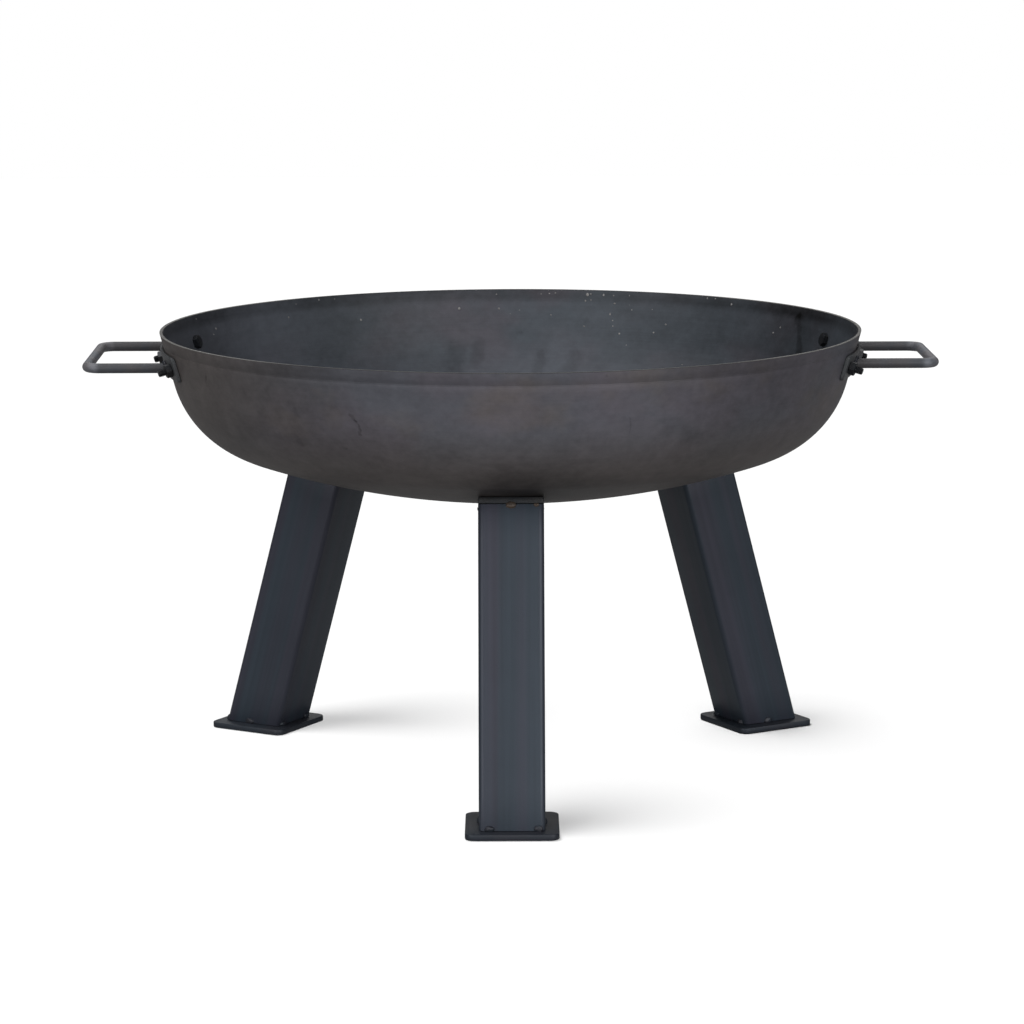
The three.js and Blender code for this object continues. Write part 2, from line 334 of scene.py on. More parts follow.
def add_piece(name, bm, materials, nodes=(), place=None, sharp=32, seed=0.0):
    """Makes an object from a mesh in millimetres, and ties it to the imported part."""
    materials = materials if isinstance(materials, (list, tuple)) else [materials]
    bmesh.ops.recalc_face_normals(bm, faces=bm.faces)
    mesh = bpy.data.meshes.new(name)
    bm.to_mesh(mesh)
    bm.free()
    grain = mesh.attributes.new("grain", "FLOAT_VECTOR", "POINT")
    shift = Vector((seed * 0.37, seed * 0.91, seed * 0.53))
    for vert, value in zip(mesh.vertices, grain.data):
        value.vector = vert.co * MM + shift
    mesh.transform(Matrix.Scale(MM, 4) @ (place or Matrix.Identity(4)))
    for material in materials:
        mesh.materials.append(material)
    mesh.shade_smooth()
    mesh.set_sharp_from_angle(angle=math.radians(sharp))
    piece = bpy.data.objects.new(name, mesh)
    collection.objects.link(piece)
    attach(piece, "root")
    if nodes:
        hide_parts(*nodes)
    return piece


def drill(bm, cutters):
    """Cuts round holes through a mesh. A cutter is a place, a radius, and a low and high end along its Z."""
    def as_object(name, source):
        mesh = bpy.data.meshes.new(name)
        bmesh.ops.recalc_face_normals(source, faces=source.faces)
        source.to_mesh(mesh)
        source.free()
        made = bpy.data.objects.new(name, mesh)
        collection.objects.link(made)
        return made

    tools = bmesh.new()
    for place, radius, low, high in cutters:
        rings = [[place @ p for p in circle(radius, z, 32)] for z in (low, high)]
        loft(tools, rings, cap_start=True, cap_end=True)
    body, tool = as_object("drilled", bm), as_object("drill_bits", tools)
    cut = body.modifiers.new("holes", "BOOLEAN")
    cut.object = tool
    cut.operation = "DIFFERENCE"
    cut.solver = "EXACT"
    depsgraph = bpy.context.evaluated_depsgraph_get()
    result = bpy.data.meshes.new_from_object(body.evaluated_get(depsgraph))
    out = bmesh.new()
    out.from_mesh(result)
    # A hole's corner can fall on the mesh's own edge, which leaves doubled points there.
    bmesh.ops.remove_doubles(out, verts=out.verts, dist=DOUBLED)
    bmesh.ops.dissolve_degenerate(out, edges=out.edges, dist=DOUBLED)
    for made in (body, tool):
        mesh = made.data
        bpy.data.objects.remove(made)
        bpy.data.meshes.remove(mesh)
    bpy.data.meshes.remove(result)
    return out


# ---------------------------------------------------------------- materials

class Graph:
    """A short way to write a material's nodes."""

    def __init__(self, name):
        self.material = bpy.data.materials.new(name)
        self.material.use_nodes = True
        self.tree = self.material.node_tree
        self.shader = self.tree.nodes["Principled BSDF"]
        self.grain = self.node("ShaderNodeAttribute", attribute_name="grain").outputs["Vector"]

    def node(self, kind, **settings):
        made = self.tree.nodes.new(kind)
        for key, value in settings.items():
            setattr(made, key, value)
        return made

    def put(self, socket, value):
        if isinstance(value, bpy.types.NodeSocket):
            self.tree.links.new(value, socket)
        else:
            socket.default_value = value

    def math(self, operation, *values):
        made = self.node("ShaderNodeMath", operation=operation)
        for socket, value in zip(made.inputs, values):
            self.put(socket, value)
        return made.outputs[0]

    def vector(self, operation, first, second=None, scale=None, output="Vector"):
        made = self.node("ShaderNodeVectorMath", operation=operation)
        self.put(made.inputs[0], first)
        if second is not None:
            self.put(made.inputs[1], second)
        if scale is not None:
            self.put(made.inputs["Scale"], scale)
        return made.outputs[output]

    def noise(self, stretch, scale=1.0, detail=2.0, rough=0.5, warp=0.0, offset=(0, 0, 0)):
        """Noise from 0 to 1 on the piece's own coordinates, stretched along each axis."""
        mapping = self.node("ShaderNodeMapping")
        self.put(mapping.inputs["Vector"], self.grain)
        mapping.inputs["Scale"].default_value = stretch
        mapping.inputs["Location"].default_value = offset
        made = self.node("ShaderNodeTexNoise", noise_dimensions="3D")
        self.put(made.inputs["Vector"], mapping.outputs[0])
        made.inputs["Scale"].default_value = scale
        made.inputs["Detail"].default_value = detail
        made.inputs["Roughness"].default_value = rough
        made.inputs["Distortion"].default_value = warp
        return made.outputs["Fac"]

    def axes(self):
        """The piece's own X, Y and Z."""
        split = self.node("ShaderNodeSeparateXYZ")
        self.put(split.inputs[0], self.grain)
        return split.outputs

    def step(self, value, low, high, out_low=0.0, out_high=1.0):
        """A smooth step between two values."""
        made = self.node("ShaderNodeMapRange", interpolation_type="SMOOTHSTEP")
        for socket, number in zip(made.inputs, (value, low, high, out_low, out_high)):
            self.put(socket, number)
        return made.outputs["Result"]

    def spot(self, place, centre, size):
        """1 at a centre, falling smoothly to 0 at a distance from it."""
        off = self.vector("SUBTRACT", place, centre * MM)
        return self.step(self.vector("LENGTH", off, output="Value"), size * MM, 0.0)

    def scratch(self, place, first, second, width):
        """1 along the line between two points, falling smoothly to 0 at a width from it."""
        along = (second - first) * MM
        off = self.vector("SUBTRACT", place, first * MM)
        part = self.vector("DOT_PRODUCT", off, along / along.length_squared, output="Value")
        clamp = self.node("ShaderNodeClamp")
        self.put(clamp.inputs[0], part)
        near = self.vector("SCALE", along, scale=clamp.outputs[0])
        off = self.vector("SUBTRACT", off, near)
        return self.step(self.vector("LENGTH", off, output="Value"), width * MM, width * MM * 0.3)

    def mix(self, factor, first, second):
        made = self.node("ShaderNodeMix", data_type="RGBA")
        self.put(made.inputs["Factor"], factor)
        self.put(made.inputs[6], first)
        self.put(made.inputs[7], second)
        return made.outputs[2]

    def tone(self, parts):
        """1 plus each (noise, gain) part, where a noise of one half changes nothing."""
        total = 1.0
        for value, gain in parts:
            total = self.math("MULTIPLY_ADD", value, gain, total)
        return self.math("SUBTRACT", total, sum(gain for _, gain in parts) / 2)

    def finish(self, colour, tone, roughness, bump, metallic, specular, strength=0.25):
        self.put(self.shader.inputs["Base Color"], self.vector("SCALE", colour, scale=tone))
        self.put(self.shader.inputs["Roughness"], roughness)
        self.shader.inputs["Metallic"].default_value = metallic
        self.shader.inputs["Specular IOR Level"].default_value = specular
        made = self.node("ShaderNodeBump")
        made.inputs["Strength"].default_value = strength
        made.inputs["Distance"].default_value = BUMP_DISTANCE
        self.put(made.inputs["Height"], bump)
        self.put(self.shader.inputs["Normal"], made.outputs[0])
        return self.material


def srgb(red, green, blue):
    """A colour given as 0 to 255 display values, as linear RGBA."""
    def linear(value):
        value /= 255
        return value / 12.92 if value <= 0.04045 else ((value + 0.055) / 1.055) ** 2.4
    return (linear(red), linear(green), linear(blue), 1.0)


def spun_steel(name, tints, rings, smudges, marks, inset, rough=0.55):
    """Bare steel with the fine rings of spinning, soft smudges, a fine grain and its marks, some of them
    broad patches of painted light and shade.

    The tints are a blue grey, a violet grey and a warm grey. A mark is its strength, its width, and one
    or two places on the bowl as (azimuth, height).
    """
    graph = Graph(name)
    x, y, z = graph.axes()
    radius = graph.vector("LENGTH", graph.vector("MULTIPLY", graph.grain, (1, 1, 0)), output="Value")
    along = graph.math("ADD", radius, z)
    combine = graph.node("ShaderNodeCombineXYZ")
    for socket, value, gain in zip(combine.inputs, (x, y, along), (7, 7, 420)):
        graph.put(socket, graph.math("MULTIPLY", value, gain))
    ring = graph.node("ShaderNodeTexNoise", noise_dimensions="3D")
    graph.put(ring.inputs["Vector"], combine.outputs[0])
    ring.inputs["Scale"].default_value = 1.0
    ring.inputs["Detail"].default_value = 4.0
    ring.inputs["Roughness"].default_value = 0.6
    ring = ring.outputs["Fac"]
    blotch = graph.noise((9, 9, 11), detail=5, rough=0.58, warp=0.5)
    cloud = graph.noise((42, 42, 60), detail=4, rough=0.6, warp=0.3, offset=(3, 1, 7))
    fleck = graph.noise((150, 150, 190), detail=3, rough=0.6, offset=(8, 2, 1))
    grit = graph.noise((900, 900, 900), detail=2, rough=0.7)
    blue, violet, warm = tints
    hue = graph.step(graph.noise((11, 11, 16), detail=3, offset=(5, 2, 9)), 0.4, 0.62)
    colour = graph.mix(hue, blue, violet)
    rusty = graph.step(graph.noise((8, 8, 12), detail=4, rough=0.6, offset=(1, 7, 4)), 0.46, 0.66)
    left = graph.step(x, -0.10, -0.27)
    low = graph.step(z, 0.325, 0.262)
    edges = graph.math("MAXIMUM", graph.math("MAXIMUM", left, low), graph.math("MULTIPLY", rusty, 0.7))
    colour = graph.mix(edges, colour, warm)
    tone = graph.tone([
        (ring, rings), (blotch, smudges), (cloud, smudges * 1.3), (fleck, smudges), (grit, 0.1),
    ])
    # The marks' outlines wander a little, so that they aren't plain discs and lines.
    wander = graph.node("ShaderNodeTexNoise", noise_dimensions="3D")
    graph.put(wander.inputs["Vector"], graph.grain)
    wander.inputs["Scale"].default_value = 90.0
    wander.inputs["Detail"].default_value = 4.0
    centred = graph.vector("SUBTRACT", wander.outputs["Color"], (0.5, 0.5, 0.5))
    place = graph.vector("ADD", graph.grain, graph.vector("SCALE", centred, scale=0.012))
    # Each mark lightens or darkens the tone; the broad ones paint light and shade.
    for strength, width, *spots in marks:
        points = [bowl_point(*spot, inset) for spot in spots]
        if len(points) == 1:
            shape = graph.spot(place, points[0], width)
        else:
            shape = graph.scratch(place, *points, width)
        tone = graph.math("MULTIPLY_ADD", shape, strength, tone)
    roughness = graph.math("MULTIPLY_ADD", blotch, 0.2, rough - 0.1)
    bump = graph.math("MULTIPLY_ADD", ring, 0.6, graph.math("MULTIPLY", grit, 0.4))
    return graph, colour, tone, roughness, bump


def dark_steel(name, cool, warm, streak, stretch, rough=0.45, blotches=0.2):
    """Blackened mill steel with faint streaks along its length."""
    graph = Graph(name)
    streaks = graph.noise(stretch, detail=3, rough=0.55)
    fine = graph.noise(tuple(3 * s for s in stretch), detail=2, offset=(4, 4, 4))
    blotch = graph.noise((14, 14, 14), detail=5, rough=0.6, warp=0.4)
    grit = graph.noise((1100, 1100, 1100), detail=2, rough=0.7)
    hue = graph.step(graph.noise(stretch, scale=0.6, detail=1, offset=(9, 3, 5)), 0.38, 0.62)
    colour = graph.mix(hue, cool, warm)
    tone = graph.tone([(streaks, streak), (fine, streak * 0.5), (blotch, blotches), (grit, 0.12)])
    roughness = graph.math("MULTIPLY_ADD", blotch, 0.2, rough - 0.1)
    bump = graph.math("MULTIPLY_ADD", streaks, 0.3, graph.math("MULTIPLY", grit, 0.5))
    return graph, colour, tone, roughness, bump


def finished(parts, metallic, specular, strength=0.25):
    graph, colour, tone, roughness, bump = parts
    return graph.finish(colour, tone, roughness, bump, metallic, specular, strength)


# The broad marks, 60 mm wide and more, are painted light and shade over the steel's uneven tone: lighter
# towards the front outside and on the back wall inside, darker low on the front outside, on the right inside
# and under the back rim inside. The narrow ones are scratches, smears and spots on the steel.
OUTSIDE_MARKS_AND_PAINTED_LIGHT = [
    (0.26, 110, (-68, 334)), (0.38, 210, (-90, 338)), (0.10, 60, (-112, 330)),
    (-0.76, 95, (-84, 256)), (0.12, 80, (-25, 330)), (0.22, 70, (-136, 268)), (0.10, 80, (-42, 275)),
    (-0.40, 1.9, (-148.0, 339.0), (-148.2, 331.7)), (-0.30, 2.4, (-116.0, 321.0), (-115.3, 316.5)),
    (-0.35, 2.0, (-115.5, 317.5), (-114.8, 307.1)), (-0.20, 1.4, (-71.1, 319.4), (-70.8, 309.8)),
    (-0.22, 11, (-112.2, 288.9)), (-0.20, 7, (-127.0, 295.9)), (-0.15, 12, (-141.8, 290.8)),
    (-0.30, 3.5, (-117.9, 295.4)), (-0.08, 4, (-121.0, 329.5), (-118.5, 328.5)),
    (-0.13, 11, (-126.4, 323.5)), (-0.15, 10, (-134.2, 317.6)), (-0.35, 2.5, (-75.5, 355.0)),
    (-0.16, 12, (-60, 300)), (-0.14, 14, (-99, 292)), (-0.12, 10, (-84, 318)), (-0.14, 13, (-40, 318)),
]
INSIDE_MARKS_AND_PAINTED_LIGHT = [
    (0.48, 150, (86, 300)), (-0.38, 80, (28, 335)), (0.36, 90, (140, 330)), (-0.10, 70, (85, 352)),
    (-0.28, 13, (100.5, 306.1), (101.2, 289.5)), (-0.20, 9, (96.0, 309.9), (96.8, 295.6)),
    (-0.30, 8, (84.0, 300.5), (84.8, 288.1)), (-0.26, 10, (77.6, 300.2), (78.9, 288.5)),
    (-0.25, 4, (88.5, 320.9)), (-0.22, 5, (75.7, 331.0)), (-0.32, 6, (28.6, 349.0), (26.0, 318.0)),
]
OUTSIDE_TINTS = srgb(57, 58, 63), srgb(60, 58, 63), srgb(64, 60, 59)
INSIDE_TINTS = srgb(46, 50, 55), srgb(51, 50, 55), srgb(50, 52, 57)

# Specks of weld spatter on the wall inside: (azimuth, height, radius).
SPATTER = [
    (159.9, 354.2, 0.9), (153.8, 342.6, 1.1), (155.0, 338.6, 0.9), (133.8, 343.1, 0.8), (118.4, 335.6, 1.1),
    (123.2, 355.1, 0.7), (126.5, 355.5, 0.7), (131.6, 353.6, 0.7), (99.4, 341.8, 1.2), (92.1, 341.3, 1.0),
    (92.5, 353.7, 0.8), (84.4, 354.0, 0.7), (82.9, 354.4, 0.8), (81.8, 355.0, 0.8), (75.9, 354.0, 1.3),
    (75.3, 354.5, 1.1), (72.9, 354.0, 1.0), (71.0, 353.7, 0.8), (70.7, 346.9, 1.1), (71.4, 337.7, 0.9),
    (70.8, 332.3, 0.8), (70.7, 327.5, 0.7), (69.3, 321.1, 0.9), (76.2, 326.6, 1.0), (76.2, 348.6, 0.8),
    (75.2, 349.3, 0.8), (67.3, 342.0, 0.8), (68.0, 354.3, 0.7), (67.8, 346.2, 0.6), (82.5, 335.8, 0.7),
    (90.0, 336.8, 0.6), (88.3, 339.8, 0.8), (63.3, 343.2, 0.7), (60.2, 331.1, 1.1), (62.5, 323.5, 0.9),
    (52.3, 355.9, 0.8), (50.6, 356.1, 0.9), (46.8, 352.5, 1.0), (33.5, 338.5, 0.9), (35.1, 333.1, 1.1),
    (67.7, 311.5, 0.6), (55.3, 298.3, 0.8),
]


def banded(parts, top, bottom, gain, line=0.0, reach=(1.0, 0.9)):
    """Darkens a band of the wall between two heights, with a line along its foot.

    The band and its line fade out to the two sides, between the two distances of the reach.
    """
    graph, colour, tone, roughness, bump = parts
    x, _, z = graph.axes()
    near = graph.step(graph.math("ABSOLUTE", x), *reach)
    band = graph.step(z, bottom * MM, top * MM)
    tone = graph.math("MULTIPLY_ADD", graph.math("MULTIPLY", band, near), gain, tone)
    # The line is painted shade along the turned groove under the rim.
    if line:
        under = graph.step(z, (bottom - 1.0) * MM, bottom * MM)
        over = graph.step(z, (bottom + 1.0) * MM, bottom * MM)
        groove = graph.math("MULTIPLY", under, over)
        tone = graph.math("MULTIPLY_ADD", graph.math("MULTIPLY", groove, near), line, tone)
    return graph, colour, tone, roughness, bump


def worn_end_with_painted_highlight(parts, start, end, gain):
    """Brightens a bar's outer end: wear where it is handled, and a painted highlight on the cross bar."""
    graph, colour, tone, roughness, bump = parts
    # Painted highlight and wear on the bar's outer end.
    worn_and_highlit = graph.step(graph.axes()[0], start * MM, end * MM)
    scuffs = graph.noise((130, 130, 130), detail=3, rough=0.6, offset=(2, 6, 3))
    scuffs = graph.step(scuffs, 0.3, 0.6, 0.5, 1.0)
    tone = graph.math("MULTIPLY_ADD", graph.math("MULTIPLY", worn_and_highlit, scuffs), gain, tone)
    return graph, colour, tone, roughness, bump


def side_lit_edge(name):
    """The rim's cut edge: painted light at the two handles' sides, and painted shade between them."""
    graph = Graph(name)
    # Painted light and shade: the rim's edge is pale towards the handles and painted dark between them.
    painted_side_light = graph.step(graph.math("ABSOLUTE", graph.axes()[0]), 0.15, 0.21)
    colour = graph.mix(painted_side_light, srgb(20, 20, 21), srgb(74, 73, 71))
    wear = graph.noise((60, 60, 60), detail=4, rough=0.6)
    grit = graph.noise((700, 700, 700), detail=2)
    tone = graph.tone([(wear, 0.5), (grit, 0.2)])
    return graph, colour, tone, graph.math("MULTIPLY_ADD", wear, 0.2, 0.3), grit


# The outside's darker band under the rim, faded out towards the sides, and the dark line at its foot are
# painted shade.
bowl_outside = finished(
    banded(spun_steel("bowl_outside", OUTSIDE_TINTS, 0.16, 0.50, OUTSIDE_MARKS_AND_PAINTED_LIGHT, 0.0),
           RIM_HEIGHT - LIP_DROP + 1, RIM_HEIGHT - LIP_DROP - 1, -0.18, -0.30, (0.24, 0.16)),
    metallic=0.1, specular=0.15)
bowl_inside = finished(
    banded(spun_steel("bowl_inside", INSIDE_TINTS, 0.24, 0.46, INSIDE_MARKS_AND_PAINTED_LIGHT, BOWL_THICKNESS),
           RIM_HEIGHT - 6, RIM_HEIGHT - LIP_DROP - 4, -0.42),
    metallic=0.1, specular=0.15)
bowl_rim = finished(side_lit_edge("bowl_rim"), metallic=0.2, specular=0.25)
leg_steel = finished(
    dark_steel("leg_steel", srgb(38, 45, 53), srgb(42, 43, 52), 0.6, (110, 110, 1.5)),
    metallic=0.3, specular=0.25)
plate_steel = finished(
    dark_steel("plate_steel", srgb(31, 36, 43), srgb(35, 37, 43), 0.3, (60, 60, 60), rough=0.5),
    metallic=0.3, specular=0.25)
top_plate_steel = finished(
    dark_steel("top_plate_steel", srgb(25, 27, 30), srgb(30, 30, 31), 0.4, (90, 90, 90), rough=0.5),
    metallic=0.3, specular=0.25)
handle_steel = finished(
    worn_end_with_painted_highlight(dark_steel("handle_steel", srgb(52, 54, 58), srgb(56, 55, 57), 0.3, (90, 90, 90), rough=0.5),
             HANDLE_REACH - 16, HANDLE_REACH - 10, 1.4),
    metallic=0.1, specular=0.2)
bracket_steel = finished(
    dark_steel("bracket_steel", srgb(52, 54, 56), srgb(50, 49, 51), 0.5, (120, 120, 120), rough=0.5),
    metallic=0.1, specular=0.2)
fastener_steel = finished(
    dark_steel("fastener_steel", srgb(22, 24, 28), srgb(28, 28, 30), 0.3, (200, 200, 200), rough=0.4),
    metallic=0.5, specular=0.4)
spatter_steel = finished(
    dark_steel("spatter_steel", srgb(100, 99, 98), srgb(80, 79, 79), 0.5, (300, 300, 300)),
    metallic=0.2, specular=0.3)
weld_steel = finished(
    dark_steel("weld_steel", srgb(27, 32, 39), srgb(31, 32, 38), 0.4, (240, 240, 240), rough=0.5),
    metallic=0.3, specular=0.3)
scorched_weld = finished(
    dark_steel("scorched_weld", srgb(64, 54, 46), srgb(34, 30, 28), 0.5, (180, 180, 180), rough=0.5),
    metallic=0.3, specular=0.3)


# ---------------------------------------------------------------- bowl

def side_profile(inset):
    """One side of the shell as (radius, height), from beside the axis up to just under the rim's edge."""
    meeting = math.atan2(KNUCKLE_CENTRE.y - FLOOR_CENTRE.y, KNUCKLE_CENTRE.x)
    floor = arc(FLOOR_CENTRE, FLOOR_RADIUS - inset, -math.pi / 2, meeting, 40)[1:]
    knuckle = arc(KNUCKLE_CENTRE, KNUCKLE_RADIUS - inset, meeting, -WALL_TAPER, 28)[1:]
    return [tuple(p) for p in floor + knuckle]


def wall_point(height, inset=0.0):
    return (wall_radius(height, -inset), height)


def make_bowl():
    line = RIM_HEIGHT - LIP_DROP
    outer = side_profile(0)
    outer += [wall_point(outer[-1][1] + (line - LINE_WIDTH - outer[-1][1]) * k / 6) for k in range(1, 7)]
    outer += [
        wall_point(line - LINE_WIDTH * 0.6, LINE_DEPTH * 0.8),
        wall_point(line - LINE_WIDTH * 0.35, LINE_DEPTH),
        wall_point(line, 0),
        wall_point(line + LIP_DROP * 0.5),
    ]
    inner_top = RIM_HEIGHT - RIM_EDGE
    outer += [wall_point(inner_top)]
    flat_out = RIM_RADIUS - RIM_EDGE
    flat_in = wall_radius(RIM_HEIGHT, -BOWL_THICKNESS) + RIM_EDGE
    rim = [
        (RIM_RADIUS - RIM_EDGE * 0.3, RIM_HEIGHT - RIM_EDGE * 0.3),
        (flat_out, RIM_HEIGHT),
        (flat_in, RIM_HEIGHT),
        (flat_in - RIM_EDGE * 0.7, RIM_HEIGHT - RIM_EDGE * 0.3),
    ]
    inner = side_profile(BOWL_THICKNESS)
    low_wall = inner[-1][1]
    inner += [wall_point(low_wall + (inner_top - low_wall) * k / 8, BOWL_THICKNESS) for k in range(1, 9)]
    bm = bmesh.new()
    rows = loft(bm, [circle(r, z, BOWL_SEGMENTS) for r, z in outer])
    rows_rim = [[bm.verts.new(p) for p in circle(r, z, BOWL_SEGMENTS)] for r, z in rim]
    rows_in = [[bm.verts.new(p) for p in circle(r, z, BOWL_SEGMENTS)] for r, z in reversed(inner)]
    skin(bm, [rows[-1]] + rows_rim + [rows_in[0]], material=2)
    skin(bm, rows_in, material=1)
    pole(bm, rows[0], (0, 0, BOWL_BOTTOM), flip=True)
    count = len(bm.faces)
    pole(bm, rows_in[-1], (0, 0, BOWL_BOTTOM + BOWL_THICKNESS))
    bm.faces.ensure_lookup_table()
    for face in bm.faces[count:]:
        face.material_index = 1
    for vert in bm.verts:
        lean = rise(vert.co, BOWL_WANDER, 0.011, 3.0) - BOWL_WANDER
        flat = Vector((vert.co.x, vert.co.y, 0))
        if flat.length > 1:
            vert.co += flat.normalized() * lean * min(1, flat.length / RIM_RADIUS)
    through = BOWL_THICKNESS + 4 * GAP
    cutters = [
        (wall_place(bolt_azimuth(side, spot)), M6["shank"] / 2 + GAP, -through, through)
        for side in HANDLE_ANGLES for spot in BOLT_ANGLES
    ]
    cutters += [
        (leg_place(azimuth), M10["shank"] / 2 + GAP, PLATE_TOP - through, PLATE_TOP + 2 * through)
        for azimuth in LEG_ANGLES.values()
    ]
    add_piece("fire_bowl", drill(bm, cutters), [bowl_outside, bowl_inside, bowl_rim],
              ["bowl"], sharp=30)


def make_spatter():
    """Small flattened beads, stuck to the wall inside."""
    bm = bmesh.new()
    for index, (azimuth, height, radius) in enumerate(SPATTER):
        centre = bowl_point(azimuth, height, BOWL_THICKNESS)
        lean = Matrix.Translation(centre) @ turn(azimuth) @ turn(90 + math.degrees(WALL_TAPER), "Y")
        stretch = 1 + 0.3 * math.sin(index * 2.4)
        made = bmesh.ops.create_icosphere(bm, subdivisions=2, radius=1.0)["verts"]
        for vert in made:
            point = vert.co * (1 + rise(vert.co, 0.3, 1.5, index * 1.3))
            vert.co = lean @ Vector((point.x * radius * stretch, point.y * radius, point.z * radius * 0.45))
    add_piece("spatter", bm, spatter_steel, sharp=70)


# ---------------------------------------------------------------- handles

def bolt_azimuth(side, spot):
    """Front is the front leg's side, so front and back swap on the left handle."""
    return HANDLE_ANGLES[side] + BOLT_ANGLES[spot] * (1 if side == "right" else -1)


def on_wall(y, height, out):
    """The point a distance out from the wall, straight out along X from the handle's own plane."""
    return Vector((math.sqrt(wall_radius(height, out) ** 2 - y * y), y, height))


def make_bracket(side):
    half, tall = BRACKET_LENGTH / 2, BRACKET_HEIGHT / 2
    inner, outer = GAP, GAP + BRACKET_THICKNESS
    corner_steps = 6
    stations = [(-half + BRACKET_CORNER * (1 - math.cos(QUARTER * i / corner_steps)),
                 tall - BRACKET_CORNER * (1 - math.sin(QUARTER * i / corner_steps)))
                for i in range(corner_steps + 1)]
    straight = 60
    flat_length = BRACKET_LENGTH - 2 * BRACKET_CORNER
    for i in range(1, straight):
        stations.append((-half + BRACKET_CORNER + flat_length * i / straight, tall))
    stations += [(-y, h) for y, h in reversed(stations[: corner_steps + 1])]
    edge = CUT_EDGE
    rings = []
    for y, h in stations:
        profile = [
            (-h + edge, outer), (-h + edge * 0.3, outer - edge * 0.3), (-h, outer - edge),
            (-h, inner + edge), (-h + edge * 0.3, inner + edge * 0.3), (-h + edge, inner),
            (h - edge, inner), (h - edge * 0.3, inner + edge * 0.3), (h, inner + edge),
            (h, outer - edge), (h - edge * 0.3, outer - edge * 0.3), (h - edge, outer),
        ]
        rings.append([on_wall(y, BOLT_HEIGHT + v, out) for v, out in profile])
    bm = bmesh.new()
    loft(bm, rings, cap_start=True, cap_end=True)
    cutters = [(wall_place(angle), M6["shank"] / 2 + GAP, -BRACKET_THICKNESS, 3 * BRACKET_THICKNESS)
               for angle in BOLT_ANGLES.values()]
    add_piece(f"bracket_{side}", drill(bm, cutters), bracket_steel,
              [f"handle_bracket_{side}"], place=turn(HANDLE_ANGLES[side]), seed=len(side))


def loop_path():
    """The handle's centre line in its own plane, as points with the direction of the bar at each."""
    half = BAR_SPACING / 2
    outer = HANDLE_REACH - BAR_DIAMETER / 2
    corner = outer - BEND_RADIUS
    start = wall_radius(BAR_HEIGHT) + BRACKET_THICKNESS
    path = []
    for x in (start, start + (corner - start) * 0.5):
        path.append((Vector((x, -half)), Vector((1, 0))))
    bends = (Vector((corner, BEND_RADIUS - half)), -90), (Vector((corner, half - BEND_RADIUS)), 0)
    for centre, first in bends:
        for i in range(13):
            angle = math.radians(first + 7.5 * i)
            out = Vector((math.cos(angle), math.sin(angle)))
            path.append((centre + BEND_RADIUS * out, Vector((-out.y, out.x))))
    for x in (start + (corner - start) * 0.5, start):
        path.append((Vector((x, half)), Vector((-1, 0))))
    return path


def make_handle_loop(side):
    sides = 32
    radius = BAR_DIAMETER / 2
    path = loop_path()
    seat = BRACKET_THICKNESS + 2 * GAP
    rings = []
    for index, (centre, along) in enumerate(path):
        across = Vector((along.y, -along.x))
        ring = []
        for i in range(sides):
            angle = TAU * i / sides
            flat = centre + across * radius * math.cos(angle)
            point = Vector((flat.x, flat.y, BAR_HEIGHT + radius * math.sin(angle)))
            if index in (0, len(path) - 1):
                point.x = on_wall(point.y, point.z, seat).x
            ring.append(point)
        rings.append(ring)
    bm = bmesh.new()
    loft(bm, rings, cap_start=True, cap_end=True)
    lift = Matrix.Translation((0, 0, BAR_HEIGHT))
    place = turn(HANDLE_ANGLES[side]) @ lift @ turn(LOOP_TWIST, "X") @ lift.inverted()
    add_piece(f"loop_{side}", bm, handle_steel, [f"handle_bar_{side}"], place=place)
    welds = bmesh.new()
    for sign in (-1, 1):
        rings = []
        for i in range(48):
            angle = TAU * i / 48
            out = Vector((0, math.cos(angle), math.sin(angle)))
            centre = Vector((0, sign * BAR_SPACING / 2, BAR_HEIGHT)) + out * (radius + 0.5)
            centre.x = on_wall(centre.y, centre.z, seat).x + 0.5
            girth = 1.7 + rise(out * 3 + Vector((sign, 0, 0)), 0.5, 2.2, 4.0 + len(side))
            rings.append([
                centre + out * girth * math.cos(TAU * k / 10) + Vector((girth * math.sin(TAU * k / 10), 0, 0))
                for k in range(10)
            ])
        loft(welds, rings, closed=True)
    add_piece(f"loop_welds_{side}", welds, weld_steel, place=place, sharp=60, seed=3)


# ---------------------------------------------------------------- fasteners

def hex_ring(flats, height, chamfer_from=None, sign=0):
    """A hexagon's ring of points, cut back by a 30 degree chamfer beyond a radius."""
    ring = []
    for i in range(HEX_STEPS):
        angle = TAU * i / HEX_STEPS
        facing = (angle + math.pi / 6) % (math.pi / 3) - math.pi / 6
        radius = flats / 2 / math.cos(facing)
        drop = max(0.0, radius - chamfer_from) * math.tan(math.radians(30)) if chamfer_from else 0.0
        ring.append(Vector((radius * math.cos(angle), radius * math.sin(angle), height - sign * drop)))
    return ring


def thread_rings(size, low, high):
    """Rings of a helical thread from one height to another, ending in a small chamfer."""
    radius, pitch = size["shank"] / 2, size["pitch"]
    depth = 0.55 * pitch
    rings = []
    steps = int((high - low) / (pitch / 6))
    for k in range(steps + 1):
        z = low + (high - low) * k / steps
        ring = []
        for i in range(HEX_STEPS // 2):
            angle = TAU * i / (HEX_STEPS // 2)
            phase = (z / pitch - angle / TAU) % 1.0
            groove = abs(2 * phase - 1)
            taper = max(0.0, z - (high - 0.8)) * 0.8
            r = radius - depth * groove - taper
            ring.append(Vector((r * math.cos(angle), r * math.sin(angle), z)))
        rings.append(ring)
    return rings


